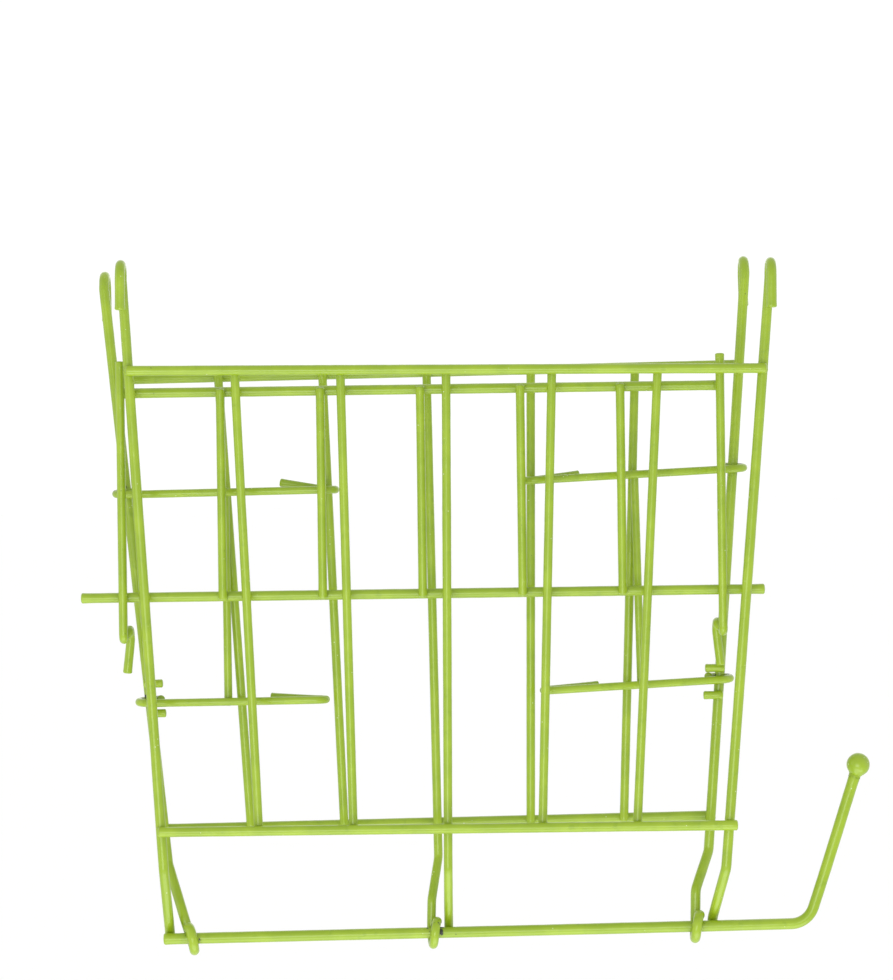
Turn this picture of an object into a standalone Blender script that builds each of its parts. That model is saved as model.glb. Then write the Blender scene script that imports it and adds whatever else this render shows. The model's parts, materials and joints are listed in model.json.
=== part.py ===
"""Hay rack feeder of coated wire for a rabbit or small-animal cage.

A back panel hangs on the cage by two rear hooks.  A front panel turns on the
bottom rod, which runs on past the right side as an upturned salt-wheel
hanger.  Two folding side wings turn on the back panel's outer wires, and a
loose lid grid stands between the panels.  The model is folded flat, as the
feeder is packed and stored.

Axes: +X right, +Y to the cage side, +Z up.  The origin is midway between the
seats of the two rear hooks.  Sizes below are in metres; heights are above
the axis of the bottom rod, and depths are behind it.
"""

import math

import bmesh
import bpy
from mathutils import Matrix, Vector

# ---------------------------------------------------------------- sizes
# Wires
THIN = 0.0022           # grid wires
STRONG = 0.0025         # rails, outer wires and hooks
ARM_WIRE = 0.0020       # wing wires
ROD = 0.0028            # bottom rod
AIR = 0.0003            # room left between wires that touch
TURN_AIR = 0.00035      # room between a bearing wire and its eye

# Panels: the same seven wires fan out from the foot to the top
TOP_HALF = 0.0788       # outer wire from the middle, at the top rail
PANEL_TOP = 0.1404      # height of both top rails
LOWER_RAIL = 0.0266     # height of both lower rails
INNER_PITCH_TOP = 0.0263
INNER_PITCH_FOOT = 0.0235
FRONT_FOOT_HALF = 0.0706
BACK_FOOT_HALF = 0.0689
RAIL_TUCK = 0.0006      # inner wires stop this far past a rail's axis
TOP_OVERHANG = 0.0005   # top rail past an outer wire's axis
FRONT_LOW_OVERHANG = 0.0011
BACK_LOW_OVERHANG = 0.0007
FRONT_LOW_TILT = math.radians(0.45)     # the front lower rail is welded on askew

# Depths behind the rod's axis
FRONT_DEPTH = -0.0070
LID_DEPTH = -0.0043
BACK_DEPTH = 0.0096

# The panels stand a little askew in their loose bearings
FRONT_LEAN = math.radians(1.15)
FRONT_SHIFT = 0.0005
BACK_SHIFT = -0.0016
LID_LEAN = math.radians(0.6)
LID_SHIFT = -0.0047

# Hooks at the tops of the four outer wires
HOOK_RISE = 0.0262      # top of a hook's bend above the top rail
HOOK_GAP = 0.0048       # clear opening for a cage wire
HOOK_LEG = 0.0125

# Legs
FRONT_LEG_BEND = 0.0163     # height where the legs leave their panel
BACK_LEG_BEND = 0.0180
FRONT_BEND_ASIDE = -0.0008
FRONT_FEET = {"left": -0.0693, "centre": 0.0006, "right": 0.0667}
FRONT_LEG_KNEE = 0.0015
FRONT_LEG_END = -0.0008
BACK_FEET = {"left": -0.0625, "centre": -0.0022, "right": 0.0640}
BACK_KNEES = {"left": (-0.0014, 0.0045), "centre": (0.0003, 0.0079), "right": (0.0003, 0.0088)}
KNEE_RADIUS = 0.0030
EYE_SWEEP = math.radians(262)   # how far an eye runs round what it holds
EYE_DRIFT = {"left": (0.0010, -0.0004), "centre": (0.0004, 0.0016), "right": (-0.0003, 0.0010)}

# Bottom rod with the salt-wheel hanger
ROD_LEFT = -0.0706
ROD_CORNER = 0.0905
ROD_BEND = 0.0060
HANGER_TIP = (0.1039, 0.0394)
BALL = 0.0058

# Lid grid
LID_HALF = 0.0747
LID_TOP_DROP = 0.0046   # upper lid rail below the panels' top rails
LID_RAIL_PITCH = 0.0510
LID_END_RISE = 0.0078   # tops of the two hooked wires above the upper lid rail
LID_TOP_OVERHANG = -0.0006
LID_LOW_OVERHANG = 0.0105
LID_HOOK_FALL = 0.0104  # front bend below the lower rail
LID_HOOK_TURN = 0.0015
LID_HOOK_GAP = 0.0032   # takes a top rail
LID_HOOK_DIP = 0.0019   # over bend's middle below the front bend's
LID_HOOK_LEG = 0.0109
LID_HOOK_STEP = 0.0012
LID_HOOK_SPLAY = 0.0009     # the leg's end comes back outwards

# Wings
EYE_RISE = 0.0008       # an eye's free end above its arm
ARM_AIR = 0.0005        # room between a wing eye and the wire it turns on
WING_OPEN = math.radians(6.0)
UPPER_ARM_DROP = {"left": 0.0291, "right": 0.0263}     # below the top rails
LOWER_ARM = {"left": 0.0587, "right": 0.0611}
DROOP = {"left": 0.0, "right": math.radians(1.9)}
UPPER_REACH = 0.0530
LOWER_REACH = 0.0447
UPPER_TIE = 0.0251
LOWER_TIE = 0.0200
TIE_OVERHANG = 0.0010
CATCH_GAP = 0.0030      # clear opening of a wing's catch hook
CATCH_RETURN = 0.0142
CATCH_RISE = {"left": (0.0021, 0.0008), "right": (0.0008, 0.0004)}  # upper, lower return

# Stop pegs, above and below each lower wing eye
PEG = 0.0020
PEG_LENGTH = 0.0047
PEG_START = 0.0009      # outer end past the outer wire's axis
PEG_PLACES = {"left": (-0.0026, 0.0049), "right": (-0.0038, 0.0030)}    # from the arm

# Facets
SIDES = 3               # bevel resolution: ten sides
STEP = math.radians(24)

LEFT_RIGHT = {"left": -1.0, "right": 1.0}
COLLECTION = "hay_rack_feeder"

GREEN = (0.36, 0.56, 0.045)

# -------------------------------------------------------- worked-out sizes
HOOK_RADIUS = (HOOK_GAP + STRONG) / 2
HOOK_TOP = PANEL_TOP + HOOK_RISE
HOOK_SEAT = HOOK_TOP - STRONG / 2
HOOK_MIDDLE = BACK_DEPTH + HOOK_RADIUS
FRONT_RAIL_DEPTH = FRONT_DEPTH - STRONG - AIR
BACK_RAIL_DEPTH = BACK_DEPTH + STRONG + AIR
LID_RAIL_DEPTH = LID_DEPTH + (THIN + STRONG) / 2 + AIR
LID_TOP_RAIL = PANEL_TOP - LID_TOP_DROP
LID_LOW_RAIL = LID_TOP_RAIL - LID_RAIL_PITCH
LID_END = LID_TOP_RAIL + LID_END_RISE
ROD_EYE = (ROD + STRONG) / 2 + TURN_AIR
LEG_DEPTH = (ROD + STRONG) / 2 + AIR
WING_EYE = (STRONG + ARM_WIRE) / 2 + ARM_AIR
CATCH_RADIUS = (CATCH_GAP + ARM_WIRE) / 2
PEG_DEPTH = BACK_DEPTH - (STRONG + PEG) / 2 - AIR


def clear_scene():
    for item in list(bpy.data.objects):
        bpy.data.objects.remove(item, do_unlink=True)


def at(x, depth, height):
    """World place of a point given from the middle of the bottom rod."""
    return Vector((x - BACK_SHIFT, depth - HOOK_MIDDLE, height - HOOK_SEAT))


def coat(name, colour, roughness):
    material = bpy.data.materials.new(name)
    material.use_nodes = True
    shader = material.node_tree.nodes["Principled BSDF"]
    shader.inputs["Base Color"].default_value = (*colour, 1.0)
    shader.inputs["Roughness"].default_value = roughness
    shader.inputs["Metallic"].default_value = 0.0
    material.diffuse_color = (*colour, 1.0)
    return material


# ------------------------------------------------------------ wire paths
def rounded(points, radius):
    """The route through points, each inner corner turned on an arc."""
    route = [points[0]]
    for before, corner, after in zip(points, points[1:], points[2:]):
        come = (before - corner).normalized()
        leave = (after - corner).normalized()
        turn = math.pi - come.angle(leave)
        if turn < math.radians(2):
            route.append(corner)
            continue
        reach = radius * math.tan(turn / 2)
        centre = corner + (come + leave).normalized() * (radius / math.cos(turn / 2))
        start = corner + come * reach - centre
        axis = start.cross(corner + leave * reach - centre).normalized()
        steps = max(2, math.ceil(turn / STEP))
        for index in range(steps + 1):
            spin = Matrix.Rotation(turn * index / steps, 3, axis)
            route.append(centre + spin @ start)
    route.append(points[-1])
    return route


def arc(centre, start, axis, sweep, shift=Vector()):
    """Points turning about an axis through centre, moving on by shift."""
    steps = math.ceil(abs(sweep) / STEP)
    places = []
    for index in range(steps + 1):
        share = index / steps
        spin = Matrix.Rotation(sweep * share, 3, axis)
        places.append(centre + spin @ start + shift * share)
    return places


def wire(name, route, thickness, material, pivot, parent):
    """One capped round wire whose origin is at pivot."""
    curve = bpy.data.curves.new(name, "CURVE")
    curve.dimensions = "3D"
    curve.bevel_depth = thickness / 2
    curve.bevel_resolution = SIDES
    curve.use_fill_caps = True
    spline = curve.splines.new("POLY")
    spline.points.add(len(route) - 1)
    for point, place in zip(spline.points, route):
        point.co = (*(place - pivot), 1.0)
    spline.use_smooth = True
    curve.materials.append(material)
    piece = bpy.data.objects.new(name, curve)
    bpy.data.collections[COLLECTION].objects.link(piece)
    if parent:
        piece.parent = parent
    else:
        piece.location = pivot
    return piece


def joint_empty(name, place):
    empty = bpy.data.objects.new(name, None)
    empty.location = place
    empty.empty_display_size = 0.01
    bpy.data.collections[COLLECTION].objects.link(empty)
    return empty


# ----------------------------------------------------------------- panels
def leaned(x, depth, height, lean, shift):
    """A point of a panel that leans to the right about the rod's middle."""
    across = x * math.cos(lean) + height * math.sin(lean) + shift
    up = height * math.cos(lean) - x * math.sin(lean)
    return at(across, depth, up)


def on_front(x, depth, height):
    return leaned(x, depth, height, FRONT_LEAN, FRONT_SHIFT)


def on_back(x, depth, height):
    return at(x + BACK_SHIFT, depth, height)


def on_lid(x, depth, height):
    return leaned(x, depth, height, LID_LEAN, LID_SHIFT)


def spread(height, foot_half):
    """Half width between the outer wires at a height."""
    slope = (TOP_HALF - foot_half) / (PANEL_TOP - LOWER_RAIL)
    return foot_half + (height - LOWER_RAIL) * slope


def hook_route(place, side, foot_half, depth, curl):
    """Shank top, bend and leg of a cage hook; curl is its way in depth."""
    bend = HOOK_TOP - HOOK_RADIUS
    shank = side * spread(bend, foot_half)
    middle = place(shank, depth + curl * HOOK_RADIUS, bend)
    start = place(shank, depth, bend) - middle
    over = place(shank, depth, HOOK_TOP) - place(shank, depth, bend)
    axis = start.cross(over).normalized()
    route = arc(middle, start, axis, math.pi)
    fall = HOOK_LEG - HOOK_RADIUS - STRONG / 2
    route.append(place(shank, depth + 2 * curl * HOOK_RADIUS, bend - fall))
    return route


def rail(name, place, depth, height, half, material, pivot, parent, tilt=0.0):
    rise = half * math.tan(tilt)
    ends = [place(-half, depth, height - rise), place(half, depth, height + rise)]
    return wire(name, ends, STRONG, material, pivot, parent)


def fan_wire(name, place, depth, number, material, pivot, parent):
    """A straight grid wire, from just past one rail to just past the other."""
    low = place(number * INNER_PITCH_FOOT, depth, LOWER_RAIL - RAIL_TUCK)
    high = place(number * INNER_PITCH_TOP, depth, PANEL_TOP + RAIL_TUCK)
    return wire(name, [low, high], THIN, material, pivot, parent)


def front_foot(x):
    """A front leg: back under the panel, then down behind the rod."""
    return [at(x, LEG_DEPTH, FRONT_LEG_END), at(x, LEG_DEPTH, FRONT_LEG_KNEE)]


def back_foot(name):
    """A back leg's eye round the rod, from its free end up to the leg's knee."""
    x = BACK_FEET[name] + BACK_SHIFT
    under, tip = EYE_DRIFT[name]
    quarter = math.pi / 2
    curve = (tip / EYE_SWEEP - under / quarter) / (EYE_SWEEP - quarter)
    slope = under / quarter - curve * quarter
    eye = arc(at(x, 0.0, 0.0), Vector((0.0, ROD_EYE, 0.0)), Vector((-1.0, 0.0, 0.0)), EYE_SWEEP)
    for index, point in enumerate(eye):
        turned = EYE_SWEEP * index / (len(eye) - 1)
        point.x += slope * turned + curve * turned**2
    aside, height = BACK_KNEES[name]
    return list(reversed(eye)) + [at(x + aside, ROD_EYE, height)]


# ------------------------------------------------------------ front panel
def build_front(material):
    axis = at(0.0, 0.0, 0.0)
    turn = joint_empty("front_panel_axis", axis)

    low_half = FRONT_FOOT_HALF + FRONT_LOW_OVERHANG
    rail("front_top_rail", on_front, FRONT_RAIL_DEPTH, PANEL_TOP, TOP_HALF + TOP_OVERHANG,
         material, axis, turn)
    rail("front_lower_rail", on_front, FRONT_RAIL_DEPTH, LOWER_RAIL, low_half,
         material, axis, turn, FRONT_LOW_TILT)

    for number in (-2, -1, 1, 2):
        name = f"front_grid_wire_{number + 3 if number < 0 else number + 2}"
        fan_wire(name, on_front, FRONT_DEPTH, number, material, axis, turn)

    for name, side in LEFT_RIGHT.items():
        bend_half = spread(FRONT_LEG_BEND, FRONT_FOOT_HALF)
        bend = on_front(side * bend_half + FRONT_BEND_ASIDE, FRONT_DEPTH, FRONT_LEG_BEND)
        hook = hook_route(on_front, side, FRONT_FOOT_HALF, FRONT_DEPTH, -1)
        corners = front_foot(FRONT_FEET[name]) + [bend, hook[0]]
        route = rounded(corners, KNEE_RADIUS) + hook[1:]
        wire(f"front_{name}_outer_wire", route, STRONG, material, axis, turn)

    bend = on_front(0.0, FRONT_DEPTH, FRONT_LEG_BEND)
    top = on_front(0.0, FRONT_DEPTH, PANEL_TOP + RAIL_TUCK)
    corners = front_foot(FRONT_FEET["centre"]) + [bend, top]
    wire("front_centre_wire", rounded(corners, KNEE_RADIUS), THIN, material, axis, turn)
    build_rod(material, axis, turn)
    return turn


def build_rod(material, axis, turn):
    """The rod, bent up into the hanger, and the ball on its tip."""
    tip = at(HANGER_TIP[0], 0.0, HANGER_TIP[1])
    corner = at(ROD_CORNER, 0.0, 0.0)
    lift = (tip - corner).normalized()
    end = tip - lift * (BALL / 2 + AIR)
    corners = [at(ROD_LEFT, 0.0, 0.0), corner, end]
    wire("bottom_rod_with_hanger", rounded(corners, ROD_BEND), ROD, material, axis, turn)

    mesh = bpy.data.meshes.new("hanger_ball")
    ball = bmesh.new()
    bmesh.ops.create_uvsphere(ball, u_segments=16, v_segments=10, radius=BALL / 2)
    bmesh.ops.translate(ball, verts=ball.verts, vec=tip - axis)
    ball.to_mesh(mesh)
    ball.free()
    mesh.shade_smooth()
    mesh.materials.append(material)
    piece = bpy.data.objects.new("hanger_ball", mesh)
    bpy.data.collections[COLLECTION].objects.link(piece)
    piece.parent = turn


# ------------------------------------------------------------- back panel
def build_back(material):
    seat = at(BACK_SHIFT, HOOK_MIDDLE, HOOK_SEAT)
    low_half = BACK_FOOT_HALF + BACK_LOW_OVERHANG
    rail("back_top_rail", on_back, BACK_RAIL_DEPTH, PANEL_TOP, TOP_HALF + TOP_OVERHANG,
         material, seat, None)
    rail("back_lower_rail", on_back, BACK_RAIL_DEPTH, LOWER_RAIL, low_half,
         material, seat, None)

    for number in (-2, -1, 1, 2):
        name = f"back_grid_wire_{number + 3 if number < 0 else number + 2}"
        fan_wire(name, on_back, BACK_DEPTH, number, material, seat, None)

    for name, side in LEFT_RIGHT.items():
        bend_half = spread(BACK_LEG_BEND, BACK_FOOT_HALF)
        bend = on_back(side * bend_half, BACK_DEPTH, BACK_LEG_BEND)
        hook = hook_route(on_back, side, BACK_FOOT_HALF, BACK_DEPTH, 1)
        foot = back_foot(name)
        corners = foot[-2:] + [bend, hook[0]]
        route = foot[:-2] + rounded(corners, KNEE_RADIUS) + hook[1:]
        wire(f"back_{name}_outer_wire", route, STRONG, material, seat, None)
        build_pegs(name, side, material, seat)

    bend = on_back(0.0, BACK_DEPTH, BACK_LEG_BEND)
    top = on_back(0.0, BACK_DEPTH, PANEL_TOP + RAIL_TUCK)
    foot = back_foot("centre")
    route = foot[:-2] + rounded(foot[-2:] + [bend, top], KNEE_RADIUS)
    wire("back_centre_wire", route, THIN, material, seat, None)


def build_pegs(name, side, material, seat):
    """Two pegs across an outer wire that keep the lower wing eye in place."""
    for word, offset in zip(("lower", "upper"), PEG_PLACES[name]):
        height = LOWER_ARM[name] + offset
        outer = spread(height, BACK_FOOT_HALF) + PEG_START
        ends = [on_back(side * outer, PEG_DEPTH, height),
                on_back(side * (outer - PEG_LENGTH), PEG_DEPTH, height)]
        wire(f"{word}_stop_peg_{name}", ends, PEG, material, seat, None)


# -------------------------------------------------------------------- lid
def build_lid(material, parent):
    base = on_lid(0.0, LID_RAIL_DEPTH, LID_LOW_RAIL)
    slide = joint_empty("lid_axis", base - parent.location)
    slide.parent = parent

    rail("lid_top_rail", on_lid, LID_RAIL_DEPTH, LID_TOP_RAIL, LID_HALF + LID_TOP_OVERHANG,
         material, base, slide)
    rail("lid_lower_rail", on_lid, LID_RAIL_DEPTH, LID_LOW_RAIL, LID_HALF + LID_LOW_OVERHANG,
         material, base, slide)

    pitch = LID_HALF / 3
    for number in range(-2, 3):
        ends = [on_lid(number * pitch, LID_DEPTH, LID_LOW_RAIL - RAIL_TUCK),
                on_lid(number * pitch, LID_DEPTH, LID_TOP_RAIL + RAIL_TUCK)]
        wire(f"lid_grid_wire_{number + 3}", ends, THIN, material, base, slide)

    for name, side in LEFT_RIGHT.items():
        wire(f"lid_{name}_hooked_wire", lid_hook_route(side), THIN, material, base, slide)


def lid_hook_route(side):
    """Down the front, back and up, then over into a downward hook."""
    x = side * LID_HALF
    inner = x - side * LID_HOOK_STEP
    bend = LID_LOW_RAIL - LID_HOOK_FALL + LID_HOOK_TURN
    over_radius = (LID_HOOK_GAP + THIN) / 2
    between = over_radius + LID_HOOK_TURN
    fall = math.asin(LID_HOOK_DIP / between)
    over_depth = LID_DEPTH + LID_HOOK_TURN + between * math.cos(fall)
    over_height = bend - LID_HOOK_DIP

    right = Vector((1.0, 0.0, 0.0))
    under_middle = on_lid(x, LID_DEPTH + LID_HOOK_TURN, bend)
    front = Vector((0.0, -LID_HOOK_TURN, 0.0))
    under = arc(under_middle, front, right, math.pi - fall)
    over_middle = on_lid(inner, over_depth, over_height)
    meeting = Vector((0.0, -math.cos(fall), math.sin(fall))) * over_radius
    over = arc(over_middle, meeting, right, fall - math.pi)
    end = over_height + over_radius - LID_HOOK_LEG
    leg = on_lid(inner + side * LID_HOOK_SPLAY, over_depth + over_radius, end)
    return [on_lid(x, LID_DEPTH, LID_END)] + under + over[1:] + [leg]


# ------------------------------------------------------------------ wings
def build_wing(name, side, material):
    """Two arms with an eye and a catch hook each, tied by an upright wire."""
    pivot = on_back(side * spread(LOWER_ARM[name], BACK_FOOT_HALF), BACK_DEPTH, LOWER_ARM[name])
    turn = joint_empty(f"{name}_wing_axis", pivot)
    ties = []
    upper_rise, lower_rise = CATCH_RISE[name]
    for word, height, reach, tie, rise in (
            ("upper", PANEL_TOP - UPPER_ARM_DROP[name], UPPER_REACH, UPPER_TIE, upper_rise),
            ("lower", LOWER_ARM[name], LOWER_REACH, LOWER_TIE, lower_rise)):
        eye_at = on_back(side * spread(height, BACK_FOOT_HALF), BACK_DEPTH, height)
        route, crossing = arm_route(eye_at, side, DROOP[name], reach, tie, rise)
        wire(f"{name}_wing_{word}_arm", route, ARM_WIRE, material, pivot, turn)
        ties.append(crossing)

    top, low = ties
    along = (top - low).normalized() * TIE_OVERHANG
    wire(f"{name}_wing_tie", [low - along, top + along], ARM_WIRE, material, pivot, turn)


def arm_route(eye_at, side, droop, reach, tie, rise):
    """Eye, arm and catch hook, and where the tie wire crosses the arm."""
    up = Vector((0.0, 0.0, 1.0))
    inward = Vector((-side * math.cos(WING_OPEN), -math.sin(WING_OPEN), 0.0))
    back = Vector((-side * math.sin(WING_OPEN), math.cos(WING_OPEN), 0.0))
    run = (inward * math.cos(droop) - up * math.sin(droop)).normalized()
    front_of_eye = eye_at - back * WING_EYE

    eye = arc(eye_at, -back * WING_EYE, up, side * EYE_SWEEP, up * EYE_RISE)
    eye.reverse()

    start = front_of_eye + run * (reach - CATCH_RADIUS)
    spoke = back * CATCH_RADIUS
    catch = arc(start + spoke, -spoke, (-spoke).cross(run).normalized(), math.pi)
    catch.append(catch[-1] - run * (CATCH_RETURN - CATCH_RADIUS) + up * rise)
    crossing = front_of_eye + run * tie + back * (ARM_WIRE + AIR)
    return eye + catch, crossing


def main():
    clear_scene()
    collection = bpy.data.collections.new(COLLECTION)
    bpy.context.scene.collection.children.link(collection)
    green = coat("lime_powder_coat", GREEN, 0.34)

    build_back(green)
    front_axis = build_front(green)
    build_lid(green, front_axis)
    for name, side in LEFT_RIGHT.items():
        build_wing(name, side, green)


main()
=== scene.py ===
"""Hay rack feeder of powder-coated wire: the looks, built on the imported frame.

Every wire of the frame is drawn again as a smooth coated wire on the same
centreline, which is read back from the frame's own faceted wire.  Where two
wires of one welded panel cross, a weld bead with a coating fillet joins them.
"""

import json
import math
import random

import bmesh
import bpy
from mathutils import Matrix, Vector, noise

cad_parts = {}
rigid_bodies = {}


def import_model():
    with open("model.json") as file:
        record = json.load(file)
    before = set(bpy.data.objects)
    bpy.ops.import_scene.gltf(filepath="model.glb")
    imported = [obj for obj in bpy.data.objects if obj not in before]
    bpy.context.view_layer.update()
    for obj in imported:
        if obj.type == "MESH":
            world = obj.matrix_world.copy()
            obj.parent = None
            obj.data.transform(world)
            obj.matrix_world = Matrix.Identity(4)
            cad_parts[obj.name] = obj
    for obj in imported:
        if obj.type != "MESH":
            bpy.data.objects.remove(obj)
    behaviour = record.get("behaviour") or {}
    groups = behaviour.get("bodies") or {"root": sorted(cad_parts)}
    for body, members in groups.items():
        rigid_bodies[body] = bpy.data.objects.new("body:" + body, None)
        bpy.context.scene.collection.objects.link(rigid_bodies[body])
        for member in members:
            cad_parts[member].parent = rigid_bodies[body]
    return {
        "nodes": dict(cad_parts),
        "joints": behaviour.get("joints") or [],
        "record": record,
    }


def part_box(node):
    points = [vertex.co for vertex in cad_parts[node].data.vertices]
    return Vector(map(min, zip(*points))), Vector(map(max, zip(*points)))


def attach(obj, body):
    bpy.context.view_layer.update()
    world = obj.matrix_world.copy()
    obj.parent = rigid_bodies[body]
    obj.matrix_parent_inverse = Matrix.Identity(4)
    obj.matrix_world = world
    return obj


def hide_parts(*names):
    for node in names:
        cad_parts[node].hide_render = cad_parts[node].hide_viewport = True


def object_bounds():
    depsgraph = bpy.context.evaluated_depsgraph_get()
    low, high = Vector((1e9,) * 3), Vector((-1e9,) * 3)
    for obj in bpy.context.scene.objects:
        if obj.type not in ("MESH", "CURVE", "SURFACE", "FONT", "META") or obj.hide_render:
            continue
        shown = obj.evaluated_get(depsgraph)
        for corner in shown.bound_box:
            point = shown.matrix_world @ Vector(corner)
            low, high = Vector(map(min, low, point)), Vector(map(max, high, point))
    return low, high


for leftover in list(bpy.data.objects):
    bpy.data.objects.remove(leftover, do_unlink=True)

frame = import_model()
frame_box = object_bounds()

MM = 0.001
BALL = "hanger_ball"
ROD = "bottom_rod_with_hanger"

# Wire surface
SIDES = 24
CURVE_STEP = 0.35 * MM      # ring spacing along bends
STRAIGHT_STEP = 1.2 * MM    # ring spacing along straight runs
STRAIGHT_TURN = math.radians(1.2)
CAP_RINGS = 5
CAP_LENGTH = 0.34           # of the radius: coating rounds the cut end
CAP_ROUND = 0.42            # of the radius: how much the rim is rounded in
CAP_PROUD = 0.10 * MM       # coating past the steel's own end
CAP_UNEVEN = 0.02           # how far from round a steel end may measure
LEFT_FIRST = 0.01           # tells the ends of a symmetrical wire apart
CAP_CROWN = 1.12            # of the cap's length: where its small flat lies
CAP_FLAT = 0.45             # of the cap's rim: how wide the flat is
COAT_WAVE = 0.020           # of the radius: slow change of coating thickness
COAT_LUMP = 0.012           # of the radius: fine change
WAVE_SCALE = 90             # per metre, as the next two
FINE_SCALE = 520
LUMP_SCALE = 450
END_SWELL = 0.05            # of the radius: coating gathers at a cut end
END_SWELL_FADE = 1.1 * MM

# Welds
WELD_REACH = 0.55 * MM      # most air between two wires that are welded
BEAD_REACH = (0.86, 1.02)   # of the thinner radius: half a bead's width
BEAD_HEIGHT = (0.50, 0.62)  # of the thinner radius: half a bead's height
BEAD_WEB = 0.22             # how far the fillets fill the four corners
BEAD_UNEVEN = 0.05

# Wear
RUB_REACH = 3.2 * MM
CUT_REACH = 1.3 * MM
CUT_WEAR = 0.45             # wear at a cut end, where 1 is rubbed through

# Ball, in parts of its own radius or of its wire's
NECK_START = 0.78
NECK_WIDE = 1.22
NECK_RISE = 0.16
BALL_LUMP = 0.006
BALL_LUMP_AT_NECK = 0.030
BALL_LUMP_SCALE = 1100
COLLAR_WIDE = 1.08
COLLAR_LONG = 0.95
COLLAR_SET_BACK = 0.15 * MM
COLLAR_UNEVEN = 0.07


# ------------------------------------------------------------- wire routes
def rings_of(node):
    """Rings of corners along a faceted wire of the frame, end to end."""
    mesh = frame["nodes"][node].data
    work = bmesh.new()
    work.from_mesh(mesh)
    bmesh.ops.remove_doubles(work, verts=work.verts, dist=1e-6)
    work.verts.index_update()
    work.normal_update()

    cap = end_cap(work)
    rings = [cap]
    seen = set(cap)
    while True:
        around = {edge.other_vert(vert) for vert in rings[-1] for edge in vert.link_edges}
        ring = in_order(around - seen)
        if not ring:
            break
        seen.update(ring)
        rings.append(ring)
    places = [[vert.co.copy() for vert in ring] for ring in rings]
    work.free()
    return places


def in_order(corners):
    """Corners in the mesh's own order, so that each run is the same."""
    return sorted(corners, key=lambda vert: vert.index)


def end_cap(work):
    """Corners of the outer flat end: a round patch of faces in one plane."""
    patches = []
    seen = set()
    for first in work.faces:
        if first in seen:
            continue
        patch, queue = {first}, [first]
        while queue:
            face = queue.pop()
            for edge in face.edges:
                for other in edge.link_faces:
                    if other not in patch and other.normal.dot(first.normal) > 0.99999:
                        patch.add(other)
                        queue.append(other)
        seen |= patch
        corners = in_order({vert for face in patch for vert in face.verts})
        if len(corners) > 4:
            patches.append(corners)
    roundest = min(unevenness(corners) for corners in patches)
    ends = [corners for corners in patches if unevenness(corners) < roundest + CAP_UNEVEN]
    return max(ends, key=outwardness)


def outwardness(corners):
    """How far out to a side corners lie, a little more on the left."""
    across = middle([corner.co for corner in corners]).x
    return abs(across) - LEFT_FIRST * across


def unevenness(corners):
    """How far from round a patch's corners lie, 0 for a true ring."""
    centre = middle([corner.co for corner in corners])
    gaps = [(corner.co - centre).length for corner in corners]
    return max(gaps) / min(gaps) - 1


def middle(points):
    return sum(points, Vector()) / len(points)


def read_wire(node):
    """Centreline and radius of a frame wire."""
    rings = rings_of(node)
    route = [middle(ring) for ring in rings]
    first = rings[0]
    radius = sum((corner - route[0]).length for corner in first) / len(first)
    return route, radius


def smooth_route(route, radius):
    """The route with its bends rounded, close points on bends only."""
    trim = radius * CAP_LENGTH - CAP_PROUD
    route = list(route)
    route[0] = route[0] + (route[1] - route[0]).normalized() * trim
    route[-1] = route[-1] + (route[-2] - route[-1]).normalized() * trim
    ways = directions(route)
    fine = []
    for index in range(len(route) - 1):
        start, end = route[index], route[index + 1]
        span = end - start
        turn = max(ways[index].angle(span), ways[index + 1].angle(span))
        step = STRAIGHT_STEP if turn < STRAIGHT_TURN else CURVE_STEP
        pieces = max(1, round(span.length / step))
        leave, arrive = ways[index] * span.length, ways[index + 1] * span.length
        for piece in range(pieces):
            t = piece / pieces
            fine.append(start * (2 * t**3 - 3 * t**2 + 1) + leave * (t**3 - 2 * t**2 + t)
                        + end * (3 * t**2 - 2 * t**3) + arrive * (t**3 - t**2))
    fine.append(route[-1])
    return fine


# ------------------------------------------------------------ wire surface
def directions(route):
    """The way the route runs at each of its points."""
    last = len(route) - 1
    return [(route[min(i + 1, last)] - route[max(i - 1, 0)]).normalized()
            for i in range(last + 1)]


def coated(radius, place, end_gap, seed):
    """Radius of the coat at a place: slow waves, fine lumps and fuller ends."""
    shift = Vector((seed * 3.7, seed * 1.3, 0.0))
    slow = noise.noise(place * WAVE_SCALE + shift)
    fine = noise.noise(place * FINE_SCALE + shift)
    swell = math.exp(-end_gap / END_SWELL_FADE)
    return radius * (1 + COAT_WAVE * slow + COAT_LUMP * fine + END_SWELL * swell)


def coated_wire(name, route, radius, seed):
    """A tube with domed ends along the route."""
    ways = directions(route)
    gaps = [0.0]
    for start, end in zip(route, route[1:]):
        gaps.append(gaps[-1] + (end - start).length)
    length = gaps[-1]

    side = ways[0].orthogonal().normalized()
    stations = []
    for index, (place, way) in enumerate(zip(route, ways)):
        if index:
            side = (side - way * side.dot(way)).normalized()
        end_gap = min(gaps[index], length - gaps[index])
        stations.append((place, way, side, coated(radius, place, end_gap, seed)))

    sections = []
    sections += dome(stations[0], -1)[::-1]
    sections += stations
    sections += dome(stations[-1], 1)

    mesh = bmesh.new()
    wear = mesh.verts.layers.float.new("wear")
    rings = []
    for place, way, side, size in sections:
        other = way.cross(side)
        ring = []
        for number in range(SIDES):
            angle = math.tau * number / SIDES
            spoke = side * math.cos(angle) + other * math.sin(angle)
            corner = place + spoke * size
            lump = noise.noise(corner * LUMP_SCALE + Vector((0.0, seed, 0.0)))
            ring.append(mesh.verts.new(corner + spoke * (lump * size * COAT_LUMP)))
        rings.append(ring)
    for near, far in zip(rings, rings[1:]):
        for number in range(SIDES):
            after = (number + 1) % SIDES
            mesh.faces.new((near[number], near[after], far[after], far[number]))
    mesh.faces.new(reversed(rings[0]))
    mesh.faces.new(rings[-1])
    for vert in mesh.verts:
        vert[wear] = wear_at(vert.co)
    return finish_mesh(name, mesh)


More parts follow.
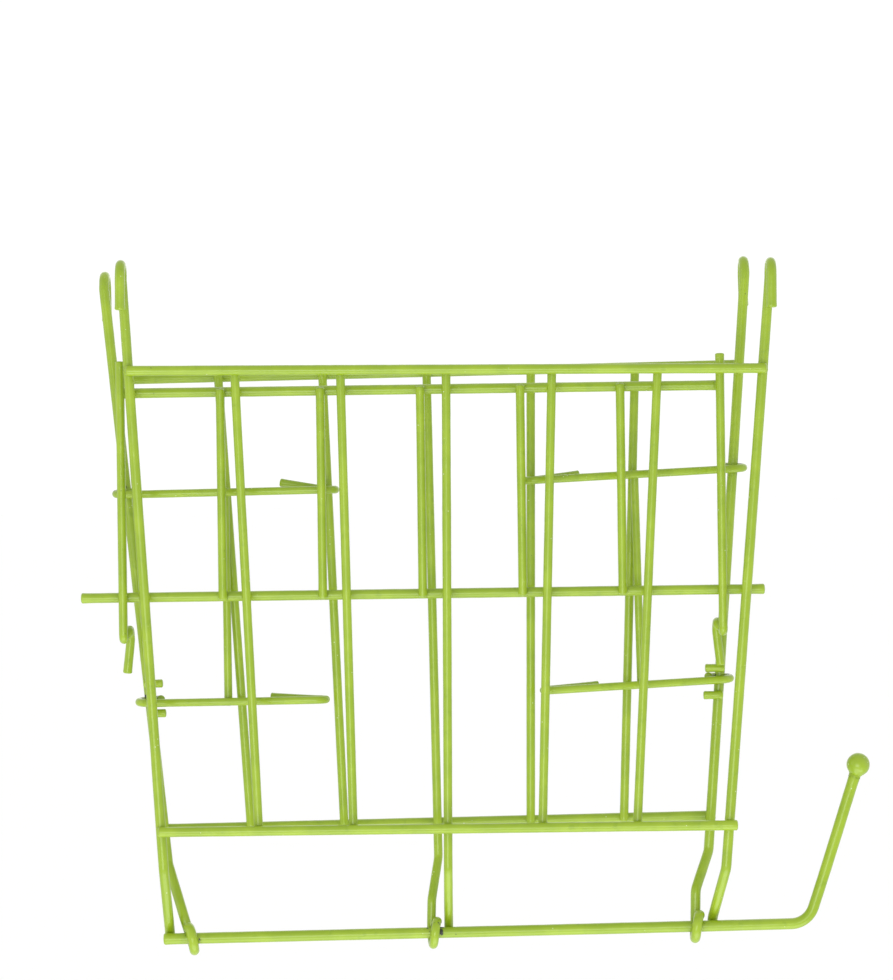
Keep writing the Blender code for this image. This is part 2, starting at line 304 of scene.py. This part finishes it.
def dome(station, way_sign):
    """Shrinking rings past an end, the last one a small flat."""
    place, way, side, size = station
    rings = []
    for number in range(1, CAP_RINGS + 1):
        angle = math.pi / 2 * number / CAP_RINGS
        forward = way * (way_sign * size * CAP_LENGTH * math.sin(angle))
        rim = size * (1 - CAP_ROUND * (1 - math.cos(angle)))
        rings.append((place + forward, way, side, rim))
    crown = way * (way_sign * size * CAP_LENGTH * CAP_CROWN)
    rings.append((place + crown, way, side, size * (1 - CAP_ROUND) * CAP_FLAT))
    return rings


def finish_mesh(name, work):
    """A linked object of the worked mesh, shaded smooth."""
    bmesh.ops.recalc_face_normals(work, faces=work.faces)
    mesh = bpy.data.meshes.new(name)
    work.to_mesh(mesh)
    work.free()
    mesh.shade_smooth()
    piece = bpy.data.objects.new(name, mesh)
    bpy.context.scene.collection.objects.link(piece)
    return piece


# ------------------------------------------------------------------- welds
def nearest(start_a, end_a, start_b, end_b):
    """Closest points of two straight runs."""
    a, b, gap = end_a - start_a, end_b - start_b, start_a - start_b
    aa, bb, ab = a.dot(a), b.dot(b), a.dot(b)
    ag, bg = a.dot(gap), b.dot(gap)
    flat = aa * bb - ab * ab
    s = 0.5 if flat < 1e-16 else min(1.0, max(0.0, (ab * bg - bb * ag) / flat))
    t = min(1.0, max(0.0, (ab * s + bg) / bb))
    s = min(1.0, max(0.0, (ab * t - ag) / aa))
    return start_a + a * s, start_b + b * t


def weld_between(first, second):
    """Where two wires touch: both points, both directions and radii."""
    route_a, radius_a = first
    route_b, radius_b = second
    best = None
    for a0, a1 in zip(route_a, route_a[1:]):
        for b0, b1 in zip(route_b, route_b[1:]):
            on_a, on_b = nearest(a0, a1, b0, b1)
            air = (on_a - on_b).length - radius_a - radius_b
            if air < WELD_REACH and (best is None or air < best[0]):
                best = (air, on_a, on_b, (a1 - a0).normalized(), (b1 - b0).normalized())
    if best is None:
        return None
    return best[1:] + (radius_a, radius_b)


def find_welds(body):
    """Every place where two wires of one body are welded."""
    wires = [node for node in BODIES[body] if node in WIRES]
    welds = []
    for index, first in enumerate(wires):
        for second in wires[index + 1:]:
            weld = weld_between(WIRES[first], WIRES[second])
            if weld:
                welds.append(weld)
    return welds


def weld_bead(work, wear, weld, chance):
    """A squeezed bead between two crossing wires, with a web in each corner."""
    on_a, on_b, way_a, way_b, radius_a, radius_b = weld
    up = (on_a - on_b).normalized()
    centre = (on_a + on_b) / 2 + up * ((radius_b - radius_a) / 2)
    across = (way_a - up * way_a.dot(up)).normalized()
    along = up.cross(across)
    thin = min(radius_a, radius_b)
    reach = thin * chance.uniform(*BEAD_REACH)
    height = thin * chance.uniform(*BEAD_HEIGHT)
    twist = chance.uniform(0, math.tau)
    made = bmesh.ops.create_icosphere(work, subdivisions=3, radius=1.0)
    for vert in made["verts"]:
        spot = vert.co.copy()
        angle = math.atan2(spot.y, spot.x)
        corner = (1 + BEAD_WEB * math.sin(2 * angle)**2
                  + BEAD_UNEVEN * math.sin(3 * angle + twist))
        rough = 1 + BEAD_UNEVEN * noise.noise(spot * 2.3 + Vector((twist, 0.0, 0.0)))
        flat = reach * corner * rough
        vert.co = (centre + across * (spot.x * flat) + along * (spot.y * flat)
                   + up * (spot.z * height))
        vert[wear] = wear_at(vert.co)


def build_welds(body):
    """All the weld beads of one body, as one piece."""
    chance = random.Random(len(body) * 31 + 5)
    work = bmesh.new()
    wear = work.verts.layers.float.new("wear")
    for weld in find_welds(body):
        weld_bead(work, wear, weld, chance)
    beads = finish_mesh(f"{body}_weld_beads", work)
    dress(beads, body)


# -------------------------------------------------------------------- wear
def bearing_spots():
    """Places where bodies rub: each hinge's wires where they pass closest."""
    spots = []
    bodies = list(BODIES)
    for index, one in enumerate(bodies):
        for two in bodies[index + 1:]:
            for first in BODIES[one]:
                for second in BODIES[two]:
                    if first in WIRES and second in WIRES:
                        meet = weld_between(WIRES[first], WIRES[second])
                        if meet:
                            spots.append((meet[0] + meet[1]) / 2)
    return spots


def wear_at(place):
    """From 0, sound coat, to 1, rubbed through."""
    rub = nearness(place, RUBBED, RUB_REACH)
    cut = nearness(place, CUT_ENDS, CUT_REACH)
    return min(1.0, rub + CUT_WEAR * cut)


def nearness(place, spots, reach):
    """1 at the nearest of the spots, fading to 0 past the reach."""
    return max((math.exp(-((place - spot).length / reach)**2) for spot in spots), default=0.0)


# ---------------------------------------------------------------- materials
class Maths:
    """A number on a socket, so that shader maths reads as plain maths."""

    def __init__(self, coat, socket):
        self.coat = coat
        self.socket = socket

    def join(self, operation, *values):
        made = self.coat.node("ShaderNodeMath", {"operation": operation}, dict(enumerate(values)))
        return Maths(self.coat, made.outputs[0])

    def __add__(self, other):
        return self.join("ADD", self, other)

    def __sub__(self, other):
        return self.join("SUBTRACT", self, other)

    def __rsub__(self, other):
        return self.join("SUBTRACT", other, self)

    def __mul__(self, other):
        return self.join("MULTIPLY", self, other)

    def above(self, edge, soft):
        """0 below edge, rising to 1 over a soft band."""
        return self.join("MULTIPLY", self - edge, 1 / soft).clamped()

    def clamped(self):
        return self.join("MINIMUM", self.join("MAXIMUM", self, 0.0), 1.0)

    __radd__ = __add__
    __rmul__ = __mul__


class Coat:
    """One procedural material, built node by node."""

    def __init__(self, name):
        self.material = bpy.data.materials.new(name)
        self.material.use_nodes = True
        self.tree = self.material.node_tree
        self.shader = self.tree.nodes["Principled BSDF"]
        self.place = self.node("ShaderNodeTexCoord").outputs["Object"]

    def node(self, kind, settings=None, values=None):
        made = self.tree.nodes.new(kind)
        for name, value in (settings or {}).items():
            setattr(made, name, value)
        for key, value in (values or {}).items():
            self.feed(made.inputs[key], value)
        return made

    def feed(self, socket, value):
        if isinstance(value, Maths):
            value = value.socket
        if isinstance(value, bpy.types.NodeSocket):
            self.tree.links.new(value, socket)
        else:
            socket.default_value = value

    def noise(self, scale, detail=2.0, roughness=0.5):
        made = self.node("ShaderNodeTexNoise", {},
                         {"Vector": self.place, "Scale": scale, "Detail": detail,
                          "Roughness": roughness})
        return Maths(self, made.outputs["Fac"])

    def cells(self, scale):
        made = self.node("ShaderNodeTexVoronoi", {"feature": "F1"},
                         {"Vector": self.place, "Scale": scale})
        return Maths(self, made.outputs["Distance"])

    def attribute(self, name):
        made = self.node("ShaderNodeAttribute", {"attribute_name": name})
        return Maths(self, made.outputs["Fac"])

    def mix(self, factor, below, above):
        made = self.node("ShaderNodeMix", {"data_type": "RGBA"},
                         {"Factor": factor, 6: below, 7: above})
        return made.outputs[2]

    def bump(self, height, distance, strength):
        made = self.node("ShaderNodeBump", {},
                         {"Height": height, "Distance": distance, "Strength": strength})
        return made.outputs["Normal"]


LIME = (0.218, 0.326, 0.006, 1.0)
LIME_PALE = (0.254, 0.368, 0.010, 1.0)
LIME_DEEP = (0.146, 0.246, 0.004, 1.0)
DUST = (0.720, 0.760, 0.560, 1.0)
BARE = (0.060, 0.062, 0.055, 1.0)


def powder_coat():
    """Glossy lime powder coat: orange peel, dust nibs, and worn dark specks."""
    coat = Coat("lime_powder_coat")
    drift = coat.noise(120, 3)
    colour = coat.mix(drift.above(0.42, 0.22), LIME, LIME_PALE)
    thin_coat = coat.noise(420, 3).above(0.60, 0.10)
    colour = coat.mix(thin_coat * 0.30, colour, LIME_DEEP)

    nibs = 1 - coat.cells(620).above(0.055, 0.045)
    sparse = coat.noise(160, 1).above(0.56, 0.05)
    dust = nibs * sparse
    colour = coat.mix(dust * 0.75, colour, DUST)

    wear = coat.attribute("wear")
    patch = coat.noise(780, 4, 0.62)
    rubbed = (patch + wear * 0.34).above(0.80, 0.035)
    chips = coat.noise(950, 2).above(0.775, 0.02)
    bare = (rubbed + chips * 0.8).clamped()
    colour = coat.mix(bare, colour, BARE)

    coat.feed(coat.shader.inputs["Base Color"], colour)
    gloss = 0.31 + coat.noise(260, 3) * 0.12 + bare * 0.22 + dust * 0.2
    coat.feed(coat.shader.inputs["Roughness"], gloss)
    coat.feed(coat.shader.inputs["Metallic"], bare * 0.6)
    coat.shader.inputs["Coat Roughness"].default_value = 0.10
    coat.shader.inputs["Specular IOR Level"].default_value = 0.38
    coat.feed(coat.shader.inputs["Coat Weight"], 0.34 - bare * 0.34)

    peel = coat.noise(1500, 2, 0.45) * 0.7 + coat.noise(520, 2) * 1.3
    height = peel + dust * 1.1 - bare * 0.9
    coat.feed(coat.shader.inputs["Normal"], coat.bump(height, 0.05 * MM, 0.75))
    return coat.material


def plain(name, colour, roughness):
    """A material of one colour."""
    coat = Coat(name)
    coat.shader.inputs["Base Color"].default_value = colour
    coat.shader.inputs["Roughness"].default_value = roughness
    return coat.material


def dress(piece, body, *nodes):
    """Coat a piece, fix it to its body and let it stand in for frame nodes."""
    piece.data.materials.append(POWDER)
    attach(piece, body)
    if nodes:
        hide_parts(*nodes)


# -------------------------------------------------------------------- ball
def build_ball():
    """The ball on the hanger's tip, with the weld neck that joins it."""
    low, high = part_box(BALL)
    centre, radius = (low + high) / 2, (high.z - low.z) / 2
    route, wire_radius = WIRES[ROD]
    tip = min((route[0], route[-1]), key=lambda end: (end - centre).length)
    stem = (tip - centre).normalized()
    turn = stem.to_track_quat("Z", "Y")

    work = bmesh.new()
    wear = work.verts.layers.float.new("wear")
    bmesh.ops.create_uvsphere(work, u_segments=48, v_segments=32, radius=radius)
    for vert in work.verts:
        height = vert.co.z / radius
        around = Vector((vert.co.x, vert.co.y, 0.0))
        neck = max(0.0, height - NECK_START) / (1 - NECK_START)
        if around.length > 1e-9:
            wide = max(around.length, wire_radius * NECK_WIDE * neck)
            around = around.normalized() * wide
        rough = BALL_LUMP + BALL_LUMP_AT_NECK * max(0.0, height)
        lump = 1 + rough * noise.noise(vert.co * BALL_LUMP_SCALE)
        rise = Vector((0.0, 0.0, vert.co.z + radius * NECK_RISE * neck))
        vert.co = turn @ ((around + rise) * lump)
        vert.co += centre
        vert[wear] = wear_at(vert.co)
    collar = bmesh.ops.create_icosphere(work, subdivisions=3, radius=1.0)
    wide, long = wire_radius * COLLAR_WIDE, wire_radius * COLLAR_LONG
    for vert in collar["verts"]:
        lump = 1 + COLLAR_UNEVEN * noise.noise(vert.co * 2.1)
        spot = Vector((vert.co.x * wide, vert.co.y * wide, vert.co.z * long)) * lump
        vert.co = tip - stem * COLLAR_SET_BACK + turn @ spot
        vert[wear] = wear_at(vert.co)
    ball = finish_mesh("hanger_ball_coated", work)
    dress(ball, "front_panel", BALL)


# ------------------------------------------------------------------- stage
VIEW_DISTANCE = 1.10
IMAGE_WIDTH = 893
DOTS_PER_METRE = 4000.0     # in the plane of the bottom rod
SENSOR = 36.0
ROLL = math.radians(-1.4)
AIM_RIGHT = 0.0027          # from the middle of the rod
AIM_UP = 0.1105
CLIP_NEAR, CLIP_FAR = 0.05, 600.0
FLOOR_HALF = 400.0          # so wide that its edge is never seen
FLOOR_DROP = 1.15           # below the rack's lowest point
FLOOR_COLOUR = (0.965, 0.965, 0.960, 1.0)
WORLD_LIGHT = 1.04

# Name, place from the rack's middle, size, power
LIGHTS = (
    ("key_box", (-0.22, -1.30, -0.25), (0.80, 0.60), 6.5),
    ("under_box", (0.05, -0.45, -1.00), (1.5, 0.8), 8.5),
    ("left_box", (-1.3, -0.3, 0.30), (0.5, 1.2), 2.0),
    ("right_box", (1.3, -0.2, 0.30), (0.5, 1.2), 1.2),
    ("back_box", (0.3, 1.4, 0.5), (1.4, 1.0), 2.5),
)


def build_camera():
    """Straight in front of the rack, and held a little askew."""
    camera = bpy.data.objects.new("camera", bpy.data.cameras.new("camera"))
    bpy.context.scene.collection.objects.link(camera)
    bpy.context.scene.camera = camera
    rod = Vector(next(j["pos_m"] for j in frame["joints"] if j["name"] == "front_open"))
    aim = rod + Vector((AIM_RIGHT, 0.0, AIM_UP))
    place = Matrix.Translation(aim - Vector((0.0, VIEW_DISTANCE, 0.0)))
    turn = Matrix.Rotation(math.radians(90), 4, "X") @ Matrix.Rotation(ROLL, 4, "Z")
    camera.matrix_world = place @ turn
    camera.data.sensor_fit = "HORIZONTAL"
    camera.data.sensor_width = SENSOR
    camera.data.lens = SENSOR * DOTS_PER_METRE * VIEW_DISTANCE / IMAGE_WIDTH
    camera.data.clip_start, camera.data.clip_end = CLIP_NEAR, CLIP_FAR


def softbox(name, place, target, size, power):
    """A soft rectangle of light that faces the target."""
    light = bpy.data.lights.new(name, "AREA")
    light.shape = "RECTANGLE"
    light.size, light.size_y = size
    light.energy = power
    lamp = bpy.data.objects.new(name, light)
    bpy.context.scene.collection.objects.link(lamp)
    lamp.location = place
    lamp.rotation_euler = (Vector(target) - Vector(place)).to_track_quat("-Z", "Y").to_euler()


def build_stage():
    """Floor, lights and sky."""
    low, high = frame_box
    centre = (low + high) / 2
    mesh = bpy.data.meshes.new("floor")
    work = bmesh.new()
    bmesh.ops.create_grid(work, x_segments=1, y_segments=1, size=FLOOR_HALF)
    bmesh.ops.translate(work, verts=work.verts, vec=Vector((0.0, 0.0, low.z - FLOOR_DROP)))
    work.to_mesh(mesh)
    work.free()
    mesh.materials.append(plain("pale_floor", FLOOR_COLOUR, 0.85))
    floor = bpy.data.objects.new("floor", mesh)
    bpy.context.scene.collection.objects.link(floor)

    for name, place, size, power in LIGHTS:
        softbox(name, centre + Vector(place), centre, size, power)

    world = bpy.data.worlds.new("studio")
    world.use_nodes = True
    sky = world.node_tree.nodes["Background"]
    sky.inputs["Color"].default_value = (1.0, 1.0, 1.0, 1.0)
    sky.inputs["Strength"].default_value = WORLD_LIGHT
    bpy.context.scene.world = world
    bpy.context.scene.view_settings.view_transform = "Standard"


# -------------------------------------------------------------------- build
BODIES = frame["record"]["behaviour"]["bodies"]
BODY_OF = {node: body for body, nodes in BODIES.items() for node in nodes}
WIRES = {node: read_wire(node) for node in BODY_OF if node != BALL}
CUT_ENDS = [end for route, _ in WIRES.values() for end in (route[0], route[-1])]
RUBBED = bearing_spots()
POWDER = powder_coat()

for seed, (node, (route, radius)) in enumerate(WIRES.items()):
    wire = coated_wire(f"{node}_coated", smooth_route(route, radius), radius, seed)
    dress(wire, BODY_OF[node], node)
for body in BODIES:
    build_welds(body)
build_ball()
build_camera()
build_stage()
